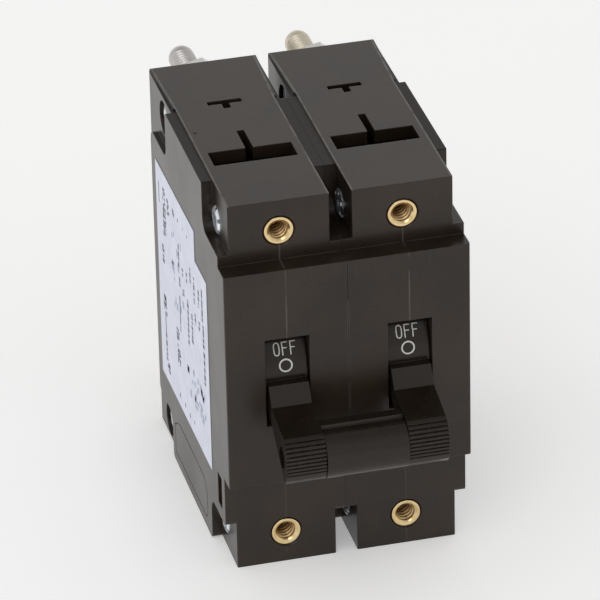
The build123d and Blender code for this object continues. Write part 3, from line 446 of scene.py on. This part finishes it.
# ------------------------------------------------------------------ materials by slot
materials = {
    "case_moulding": hard_plastic(
        "case_moulding_look", (0.0192, 0.0128, 0.0082), rough=0.30, grain=0.06,
        round_mm=0.18, seed=0.0, scuffs=0.5, shine=0.41, is_case=True),
    "handle_moulding": hard_plastic(
        "handle_moulding_look", (0.0125, 0.0088, 0.0060), rough=0.22, grain=0.025,
        round_mm=0.12, seed=2.0, scuffs=0.7, shine=0.34),
    "insert_brass": insert_brass(),
}
for slot, values in METALS.items():
    materials[slot] = metal(slot + "_look", *values)
materials["fibre_board"] = fibre_board()
materials["bobbin_nylon"] = nylon("bobbin_nylon_look", (0.62, 0.58, 0.47))
materials["trip_bar_plastic"] = nylon("trip_bar_look", (0.10, 0.098, 0.092))
materials["label_film"] = label_film()
# a beige metal for the right pole's studs
stud_beige = metal("stud_yellowed_look", (0.72, 0.66, 0.54), rough=0.42, variation=0.10,
                      round_mm=0.06, tarnish=(0.62, 0.55, 0.42), grain=0.03)
legend_white = ink("legend_white_look", (0.62, 0.62, 0.60), worn=0.25)
print_grey = ink("print_grey_look", (0.115, 0.12, 0.165), worn=0.35)
print_pale = ink("print_pale_look", (0.42, 0.46, 0.60), worn=0.3)
print_black = ink("print_black_look", (0.045, 0.042, 0.055), worn=0.3)

slot_of = {part["node"]: part["material_slot"] for part in frame["record"]["subparts"]}
for name, piece in frame["nodes"].items():
    material = materials[slot_of[name]]
    if not piece.material_slots:
        piece.data.materials.append(material)
    for material_slot in piece.material_slots:
        material_slot.material = material


# ------------------------------------------------------------------ mesh helpers
# A shape is a pair (verts, faces).
def add_piece(name, shape, material, body, smooth=True):
    verts, faces = shape
    mesh = bpy.data.meshes.new(name)
    mesh.from_pydata([(x * MM, y * MM, z * MM) for x, y, z in verts], [], faces)
    mesh.validate()
    edit = bmesh.new()
    edit.from_mesh(mesh)
    bmesh.ops.recalc_face_normals(edit, faces=edit.faces)
    edit.to_mesh(mesh)
    edit.free()
    if smooth:
        mesh.shade_smooth()
    piece = bpy.data.objects.new(name, mesh)
    scene.collection.objects.link(piece)
    mesh.materials.append(material)
    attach(piece, body)
    return piece


def joined(shapes):
    verts, faces = [], []
    for more_verts, more_faces in shapes:
        base = len(verts)
        verts += more_verts
        faces += [tuple(base + i for i in face) for face in more_faces]
    return verts, faces


def turns(segments):
    return [2 * math.pi * j / segments for j in range(segments)]


def tube_faces(rows, segments, looped=False):
    """Quads between rings; the last ring is joined to the first, or both ends are capped."""
    faces = []
    for i in range(rows if looped else rows - 1):
        a, b = i * segments, (i + 1) % rows * segments
        for j in range(segments):
            k = (j + 1) % segments
            faces.append((a + j, a + k, b + k, b + j))
    if not looped:
        last = (rows - 1) * segments
        faces.append(tuple(range(segments)))
        faces.append(tuple(last + j for j in reversed(range(segments))))
    return faces


def spun(rows, cx, cz, looped=False):
    """Rings about an axis along Y; each row lists (radius, y) round the turn."""
    segments = len(rows[0])
    verts = [(cx + radius * math.cos(angle), y, cz + radius * math.sin(angle))
             for row in rows for angle, (radius, y) in zip(turns(segments), row)]
    return verts, tube_faces(len(rows), segments, looped)


def thread_row(y, start, major, minor, fade, plain, segments):
    """One ring of a 60 degree thread with flat crests and roots.

    fade runs from 0, the plain radius, to 1, the full thread.
    """
    row = []
    for angle in turns(segments):
        phase = ((y - start) / THREAD_PITCH - angle / (2 * math.pi)) % 1.0
        wave = abs(2 * phase - 1)
        wave = min(1.0, max(0.0, (wave - 0.12) / 0.72))
        radius = minor + (major - minor) * wave
        row.append((radius * fade + plain * (1 - fade), y))
    return row


# ------------------------------------------------------------------ threaded inserts
def inserts():
    segments, steps = 60, 88
    front, back = 0.06, 5.06
    # (radius, y): outside, rolled front rim, countersink
    profile = [(2.12, back), (2.26, back - 0.15), (2.26, front + 0.30), (2.29, front + 0.12),
               (2.24, front + 0.03), (2.14, front), (1.88, front), (1.80, front + 0.04),
               (1.66, front + 0.15), (1.48, front + 0.32)]
    rows = [[point] * segments for point in profile]
    thread_front, thread_back = front + 0.34, back - 0.05
    for i in range(steps + 1):
        y = thread_front + (thread_back - thread_front) * i / steps
        rows.append(thread_row(y, front, major=1.63, minor=1.29, fade=min(1.0, i / 5.0),
                               plain=1.46, segments=segments))
    rows.append([(1.62, back)] * segments)
    return joined(spun(rows, cx, cz, looped=True) for cx in POLES for cz in (INSERT_Z, -INSERT_Z))


piece = add_piece("threaded_inserts", inserts(), materials["insert_brass"], "root")
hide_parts("mounting_inserts")


# ------------------------------------------------------------------ terminal studs
def studs(cx):
    """The upper and lower stud of one pole: flat head in front, rounded point behind."""
    segments, steps_per_turn, fade_steps, tip_steps = 48, 12, 8.0, 16
    major = 2.075
    low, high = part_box("terminal_studs")
    head, end = low.y / MM, high.y / MM
    # (radius, y): chamfered head, then the plain neck
    profile = [(0.9, head), (3.15, head), (3.28, head + 0.13), (3.28, head + 1.0),
               (3.15, head + 1.12), (2.06, head + 1.12), (2.06, head + 3.0)]
    rows = [[point] * segments for point in profile]
    thread_front, thread_back = head + 3.2, end - 2.45
    steps = int((thread_back - thread_front) / THREAD_PITCH * steps_per_turn)
    for i in range(steps + 1):
        y = thread_front + (thread_back - thread_front) * i / steps
        fade = min(1.0, i / fade_steps, (steps - i) / fade_steps)
        rows.append(thread_row(y, 0.0, major, minor=1.70, fade=fade, plain=1.98,
                               segments=segments))
    for i in range(tip_steps + 1):
        angle = math.radians(90 * i / tip_steps)
        point = (max(0.02, major * math.cos(angle)),
                 end - 0.02 - major + major * math.sin(angle))
        rows.append([point] * segments)
    return joined(spun(rows, cx, cz) for cz in (STUD_Z, -STUD_Z))


for side, cx, material in (("left", POLES[0], materials["stud_plated"]),
                           ("right", POLES[1], stud_beige)):
    piece = add_piece("threaded_studs_" + side, studs(cx), material, "root")
    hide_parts("terminal_studs")


# ------------------------------------------------------------------ handle legends
# Strokes are drawn as (u, s): u across the pole, s upwards along the guard.
LETTER_HEIGHT, LETTER_WIDTH, LETTER_STROKE = 2.07, 0.83, 0.165
HANDLE_ARC = 180 + 20              # degrees about the pivot; 180 is straight out in front


def arc_of(y, z):
    return math.degrees(math.atan2(z - PIVOT_Z, y - PIVOT_Y)) % 360


def painted(path, width, cx, centre_arc):
    """A thin painted stroke along a path; a path that ends where it starts is closed."""
    verts, faces = [], []
    closed = path[0] == path[-1]
    points = path[:-1] if closed else path
    count = len(points)
    for i in range(count):
        if closed:
            before, after = points[i - 1], points[(i + 1) % count]
        else:
            before, after = points[max(0, i - 1)], points[min(count - 1, i + 1)]
        along = (Vector(after) - Vector(before)).normalized()
        across = Vector((-along.y, along.x))
        for side in (-1, 1):
            for lift in (-0.03, 0.012):
                spot = Vector(points[i]) + across * (side * width / 2)
                arc = math.radians(centre_arc - math.degrees(spot.y / GUARD_RADIUS))
                radius = GUARD_RADIUS + lift
                verts.append((cx + spot.x, PIVOT_Y + radius * math.cos(arc),
                              PIVOT_Z + radius * math.sin(arc)))
    # four verts to a point: low and high on one side, low and high on the other
    for i in range(count if closed else count - 1):
        a, b = 4 * i, 4 * ((i + 1) % count)
        faces += [(a + 1, b + 1, b + 3, a + 3), (a, a + 2, b + 2, b),
                  (a, b, b + 1, a + 1), (a + 2, a + 3, b + 3, b + 2)]
    if not closed:
        last = 4 * (count - 1)
        faces += [(0, 1, 3, 2), (last, last + 2, last + 3, last + 1)]
    return verts, faces


def line(start, end, steps=6):
    return [(start[0] + (end[0] - start[0]) * i / steps,
             start[1] + (end[1] - start[1]) * i / steps) for i in range(steps + 1)]


def oval(u, half_width, half_height, exponent, count):
    """A closed superellipse; exponent 2 gives an ellipse."""
    points = []
    for angle in turns(count):
        c, s = math.cos(angle), math.sin(angle)
        points.append((u + half_width * math.copysign(abs(c) ** (2 / exponent), c),
                       half_height * math.copysign(abs(s) ** (2 / exponent), s)))
    return points + [points[0]]


def letter_o(u):
    return [oval(u, LETTER_WIDTH / 2, LETTER_HEIGHT / 2 - LETTER_STROKE / 2,
                 exponent=2.8, count=44)]


def letter_f(u):
    left, right, top = u - LETTER_WIDTH / 2, u + LETTER_WIDTH / 2, LETTER_HEIGHT / 2
    bar = top - LETTER_STROKE / 2
    return [line((left, -top), (left, top)), line((left, bar), (right, bar), 3),
            line((left, 0.08), (right - 0.14, 0.08), 3)]


def letter_n(u):
    left, right, top = u - LETTER_WIDTH / 2, u + LETTER_WIDTH / 2, LETTER_HEIGHT / 2
    return [line((left, -top), (left, top)), line((right, -top), (right, top)),
            line((left, top), (right, -top), 8)]


def legends(cx):
    """OFF and a circle above the handle, ON and a bar mirrored below it."""
    off_arc = arc_of(-1.45, 6.93)
    circle_arc = arc_of(-2.3, 4.45)
    on_arc = 2 * HANDLE_ARC - off_arc
    bar_arc = 2 * HANDLE_ARC - circle_arc
    groups = (
        (letter_o(-1.20) + letter_f(0.12) + letter_f(1.38), LETTER_STROKE, off_arc),
        ([oval(0, 0.95, 0.95, exponent=2, count=40)], 0.24, circle_arc),
        (letter_o(-0.72) + letter_n(0.75), LETTER_STROKE, on_arc),
        ([line((0, -1.0), (0, 1.0))], 0.26, bar_arc))
    return joined(painted(path, width, cx, arc) for paths, width, arc in groups for path in paths)


for side, cx in zip(("left", "right"), POLES):
    add_piece(side + "_handle_legends", legends(cx), legend_white, "toggle",
              smooth=False)


# ------------------------------------------------------------------ label print
# Unreadable marks on the left side.  A mark is (low y, low z, size in y, size in z).
# y, top z, bottom z, width
SCRAWLS = ((35.9, 16.6, 8.1, 1.7), (33.2, 16.0, 13.4, 1.2), (29.6, 16.1, 15.2, 1.2),
           (37.5, -3.2, -6.0, 1.9), (36.3, -15.0, -16.4, 1.5), (28.9, -4.6, -6.6, 1.8),
           (28.7, -7.4, -10.6, 1.8))
# y, top z, bottom z, width, dash, gap
TYPE_LINES = (
    (37.55, -6.2, -10.0, 0.26, 3.0, 0.1), (37.45, -10.0, -14.8, 0.62, 0.9, 0.3),
    (26.65, 11.6, 7.6, 0.42, 1.5, 0.20), (26.4, 5.9, 4.3, 0.55, 0.7, 0.3),
    (26.8, 2.4, -4.0, 0.40, 2.2, 0.15), (24.2, 8.6, 7.2, 0.5, 0.6, 0.3),
    (23.7, 5.1, 4.0, 0.5, 0.6, 0.3), (21.5, 9.3, 7.4, 0.5, 0.6, 0.35),
    (21.2, 4.6, -3.5, 0.62, 0.7, 0.3), (19.0, 11.4, 8.8, 0.5, 0.9, 0.2),
    (18.5, 3.6, -1.8, 0.62, 0.6, 0.3), (16.5, 11.1, 6.5, 0.5, 0.7, 0.35),
    (16.2, 4.9, 3.0, 0.5, 0.6, 0.3), (13.6, 10.4, 7.4, 0.5, 0.7, 0.3),
    (13.6, 4.9, 3.2, 0.5, 0.6, 0.3), (11.3, 11.7, 6.2, 0.50, 1.2, 0.2),
    (10.9, 5.6, 1.6, 0.60, 1.0, 0.25), (10.7, 1.0, -4.7, 0.66, 0.8, 0.3))
DARK_MARKS = (
    (39.15, 12.5, 0.34, 3.7), (36.95, 4.6, 1.25, 0.55), (37.35, 5.3, 0.95, 0.5),
    (36.9, 2.7, 1.2, 0.75), (37.1, 3.7, 1.0, 0.35),
    # along the lower edge, then near the upper edge
    (28.7, -16.9, 0.42, 0.8), (25.1, -16.7, 0.40, 0.8), (21.9, -16.8, 0.40, 0.8),
    (19.0, -16.3, 0.36, 0.6),
    (26.3, 15.5, 0.42, 0.6), (20.2, 15.9, 0.28, 0.5), (22.9, 15.9, 0.24, 0.4))
# number of blots, then (lowest, range) of y, z, size in y, size in z
PALE_BLOTS = ((30, ((10.6, 12.0), (-13.2, 6.2), (0.5, 0.9), (0.5, 1.1))),
              (16, ((23.6, 7.5), (-3.0, 15.0), (0.4, 0.8), (0.5, 1.2))))


def type_line(rng, y, top, bottom, width, dash, gap):
    """Short dashes running down, like a line of small type turned on its side."""
    marks = []
    z = top
    while z > bottom:
        length = min(z - bottom, dash * (0.4 + 1.0 * rng.random()))
        size = 1.55 * width * (0.7 + 0.45 * rng.random())
        marks.append((y - size / 2 + 0.06 * (rng.random() - 0.5), z - length, size, length))
        z -= length + gap * (0.4 + 0.9 * rng.random())
    return marks


def scrawl(rng, y, top, bottom, width):
    """A broken zigzag of small strokes, some with a cross stroke."""
    marks = []
    z = top
    side = 1
    while z > bottom:
        length = 0.30 + 0.45 * rng.random()
        size = 0.46 + 0.34 * rng.random()
        middle = y + side * width * (0.15 + 0.30 * rng.random())
        marks.append((middle - size / 2, z - length, size, length))
        if rng.random() > 0.45:
            marks.append((y - width * 0.38, z - length * 0.55,
                          width * (0.60 + 0.25 * rng.random()), 0.24))
        side = -side
        z -= length * (0.55 + 0.5 * rng.random())
    return marks


def on_label(mark):
    """The label is lower at its front end."""
    y, z, _, length = mark
    return 8.6 < y < 40.4 and -17.6 < z and z + length < (13.9 if y < 15.2 else 18.6)


def mark_box(mark, face_x):
    """A thin box from just under the label face to just proud of it."""
    y, z, size, length = mark
    verts = []
    for x in (face_x + 0.02, face_x - 0.008):
        verts += [(x, y, z), (x, y + size, z), (x, y + size, z + length), (x, y, z + length)]
    faces = [(0, 1, 2, 3), (7, 6, 5, 4)]
    for i in range(4):
        j = (i + 1) % 4
        faces.append((i, 4 + i, 4 + j, j))
    return verts, faces


def label_print():
    face_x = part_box("side_label")[0].x / MM
    rng = random.Random(41)
    grey, pale = [], []
    for row in SCRAWLS:
        grey += scrawl(rng, *row)
    for row in TYPE_LINES:
        grey += type_line(rng, *row)
    for count, spans in PALE_BLOTS:
        for _ in range(count):
            pale.append(tuple(low + span * rng.random() for low, span in spans))
    for name, marks, material in (("label_print_grey", grey, print_grey),
                                  ("label_print_pale", pale, print_pale),
                                  ("label_print_dark", DARK_MARKS, print_black)):
        shape = joined(mark_box(mark, face_x) for mark in marks if on_label(mark))
        add_piece(name, shape, material, "root", smooth=False)


label_print()


# ------------------------------------------------------------------ small dome on the top
def top_dome(cx=-16.24, cy=24.86, radius=0.30, height=0.10, segments=24):
    # (share of radius, share of height)
    profile = [(1.0, -0.3), (1.0, 0.3), (0.85, 0.75), (0.5, 0.97), (0.03, 1.0)]
    verts = [(cx + radius * out * math.cos(angle), cy + radius * out * math.sin(angle),
              TOP_Z + height * rise)
             for out, rise in profile for angle in turns(segments)]
    return verts, tube_faces(len(profile), segments)


add_piece("top_gate_mark", top_dome(), materials["case_moulding"], "root")


# ------------------------------------------------------------------ floor (metres)
def floor_look():
    """Pale and faintly glowing, and clear from below."""
    look = Look("floor_look")
    colour = look.mix(look.noise(0.01, detail=3), (0.86, 0.86, 0.86), (0.90, 0.90, 0.90))
    surface = look.node("ShaderNodeBsdfPrincipled", {
        "Base Color": colour, "Roughness": 0.9, "IOR": 1.3,
        "Emission Color": (1.0, 1.0, 1.0), "Emission Strength": 0.30})
    clear = look.node("ShaderNodeBsdfTransparent")
    below = look.node("ShaderNodeNewGeometry").outputs["Backfacing"]
    both = look.node("ShaderNodeMixShader", {0: below, 1: surface.outputs[0],
                                             2: clear.outputs[0]})
    return look.finish(both.outputs[0])


def add_floor():
    """A sheet just under the case that curves up behind it."""
    cells, half_width = 24, 1.6
    front, depth, bend_y = -1.0, 3.2, 1.0
    level = cad_lo.z - 0.00003
    verts, faces = [], []
    for i in range(cells + 1):
        y = front + depth * i / cells
        z = level + 0.5 * max(0.0, y - bend_y) ** 2
        for j in range(cells + 1):
            verts.append((-half_width + 2 * half_width * j / cells, y, z))
    for i in range(cells):
        for j in range(cells):
            a = i * (cells + 1) + j
            faces.append((a, a + 1, a + cells + 2, a + cells + 1))
    mesh = bpy.data.meshes.new("floor")
    mesh.from_pydata(verts, [], faces)
    mesh.shade_smooth()
    floor = bpy.data.objects.new("floor", mesh)
    scene.collection.objects.link(floor)
    mesh.materials.append(floor_look())


add_floor()


# ------------------------------------------------------------------ light
def add_world():
    """A soft room, dimmer straight overhead."""
    world = bpy.data.worlds.new("soft_room")
    scene.world = world
    world.use_nodes = True
    sky = Tree(world.node_tree)
    direction = sky.node("ShaderNodeTexCoord").outputs["Generated"]
    height = sky.node("ShaderNodeSeparateXYZ", {0: direction}).outputs["Z"]
    background = world.node_tree.nodes["Background"]
    sky.put(background.inputs["Strength"], sky.ramp(height, 0.50, 0.95, low=0.78, high=0.46))
    sky.put(background.inputs["Color"], (1.0, 0.99, 0.982))


def add_key_light():
    """A soft disk in front, to the left and above (metres and watts)."""
    place, target = Vector((-0.35, -0.55, 0.75)), Vector((0, 0.02, 0))
    lamp = bpy.data.lights.new("key_soft", "AREA")
    lamp.shape = "DISK"
    lamp.size = 0.55
    lamp.energy = 1.1
    light = bpy.data.objects.new("key_soft", lamp)
    scene.collection.objects.link(light)
    light.location = place
    light.rotation_mode = "QUATERNION"
    light.rotation_quaternion = (target - place).to_track_quat("-Z", "Y")


add_world()
add_key_light()


# ------------------------------------------------------------------ camera
def add_camera():
    """In front, to the left and above, looking back and down with a slight roll."""
    azimuth, elevation, roll = (math.radians(a) for a in (13.77967, 29.06755, -1.33353))
    # the model origin as the camera sees it: right, up and forward
    origin_seen = Vector((6.6170175, -11.2294035, 794.0849625)) * MM
    forward = Vector((math.sin(azimuth) * math.cos(elevation),
                      math.cos(azimuth) * math.cos(elevation), -math.sin(elevation)))
    level_right = Vector((math.cos(azimuth), -math.sin(azimuth), 0))
    level_up = level_right.cross(forward)
    right = math.cos(roll) * level_right + math.sin(roll) * level_up
    up = -math.sin(roll) * level_right + math.cos(roll) * level_up
    data = bpy.data.cameras.new("camera")
    data.sensor_width = 36.0
    data.lens = 314.79
    data.clip_start, data.clip_end = 0.05, 20
    data.shift_y = 0.00105
    camera = bpy.data.objects.new("camera", data)
    scene.collection.objects.link(camera)
    pose = Matrix((right, up, -forward)).transposed().to_4x4()
    pose.translation = -(Matrix((right, up, forward)).transposed() @ origin_seen)
    camera.matrix_world = pose
    scene.camera = camera


add_camera()
scene.view_settings.view_transform = "Standard"
scene.view_settings.look = "None"
